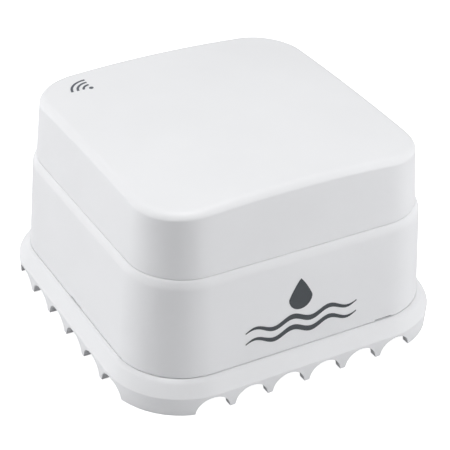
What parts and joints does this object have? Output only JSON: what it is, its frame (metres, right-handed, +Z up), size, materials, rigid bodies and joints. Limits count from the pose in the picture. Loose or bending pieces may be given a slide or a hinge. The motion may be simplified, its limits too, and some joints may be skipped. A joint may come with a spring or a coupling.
{
  "type": "wireless water leak sensor",
  "caption": "Rounded-square battery water leak sensor with a scalloped water-admitting foot, domed lift-off cap, pairing button and contact probes beneath.",
  "frame": {"origin": "centre of the foot, on the floor plane that the skirt's teeth stand on", "axes": "+Z up, the front face with the printed mark towards -Y, cells lying along X"},
  "size_m": [0.065, 0.065, 0.039],
  "materials": {
    "casing_white": "satin moulded ABS",
    "tray_white": "fine texture",
    "seal_grey": "silicone",
    "oring_black": "nitrile",
    "screw_steel": "zinc plated",
    "board_green": "solder resist",
    "board_blue": "solder resist",
    "shield_tin": "tinned",
    "chip_black": "epoxy",
    "can_aluminium": "satin",
    "buzzer_black": "moulded",
    "led_white": "moulded",
    "light_pipe_clear": "polished acrylic",
    "switch_black": "moulded",
    "button_grey": "fine texture",
    "probe_steel": "polished stainless",
    "nut_brass": "turned",
    "cell_wrap": "gloss sleeve",
    "contact_nickel": "nickel plated",
    "pad_foam": "closed-cell foam",
    "label_silver": "blank printed film"
  },
  "bodies": {
    "case": {"base_tray": "casing_white", "housing": "casing_white", "battery_tray": "tray_white", "base_seal": "seal_grey", "cap_seal": "seal_grey", "case_screws": "screw_steel", "main_board": "board_green", "board_screws": "screw_steel", "radio_module": "board_blue", "radio_shield": "shield_tin", "controller_chip": "chip_black", "board_parts": "chip_black", "capacitor": "can_aluminium", "buzzer": "buzzer_black", "status_led": "led_white", "light_pipe": "light_pipe_clear", "tact_switch": "switch_black", "probe_pins": "probe_steel", "probe_orings": "oring_black", "probe_nuts": "nut_brass", "front_cell": "cell_wrap", "rear_cell": "cell_wrap", "battery_springs": "contact_nickel", "bridge_contact": "contact_nickel", "positive_contact": "contact_nickel", "negative_contact": "contact_nickel", "rating_label": "label_silver"},
    "cap": {"top_cap": "casing_white", "cell_pad": "pad_foam"},
    "button": {"pairing_button": "button_grey", "switch_plunger": "switch_black"}
  },
  "joints": [
    {"name": "cap_lift", "type": "slide", "parent": "case", "child": "cap", "axis": [0, 0, 1], "range_m": [0, 0.025]},
    {"name": "button_press", "type": "slide", "parent": "case", "child": "button", "axis": [0, 0, -1], "range_m": [0, 0.00035], "stiffness_N_per_m": 400, "springref_m": -0.002}
  ]
}
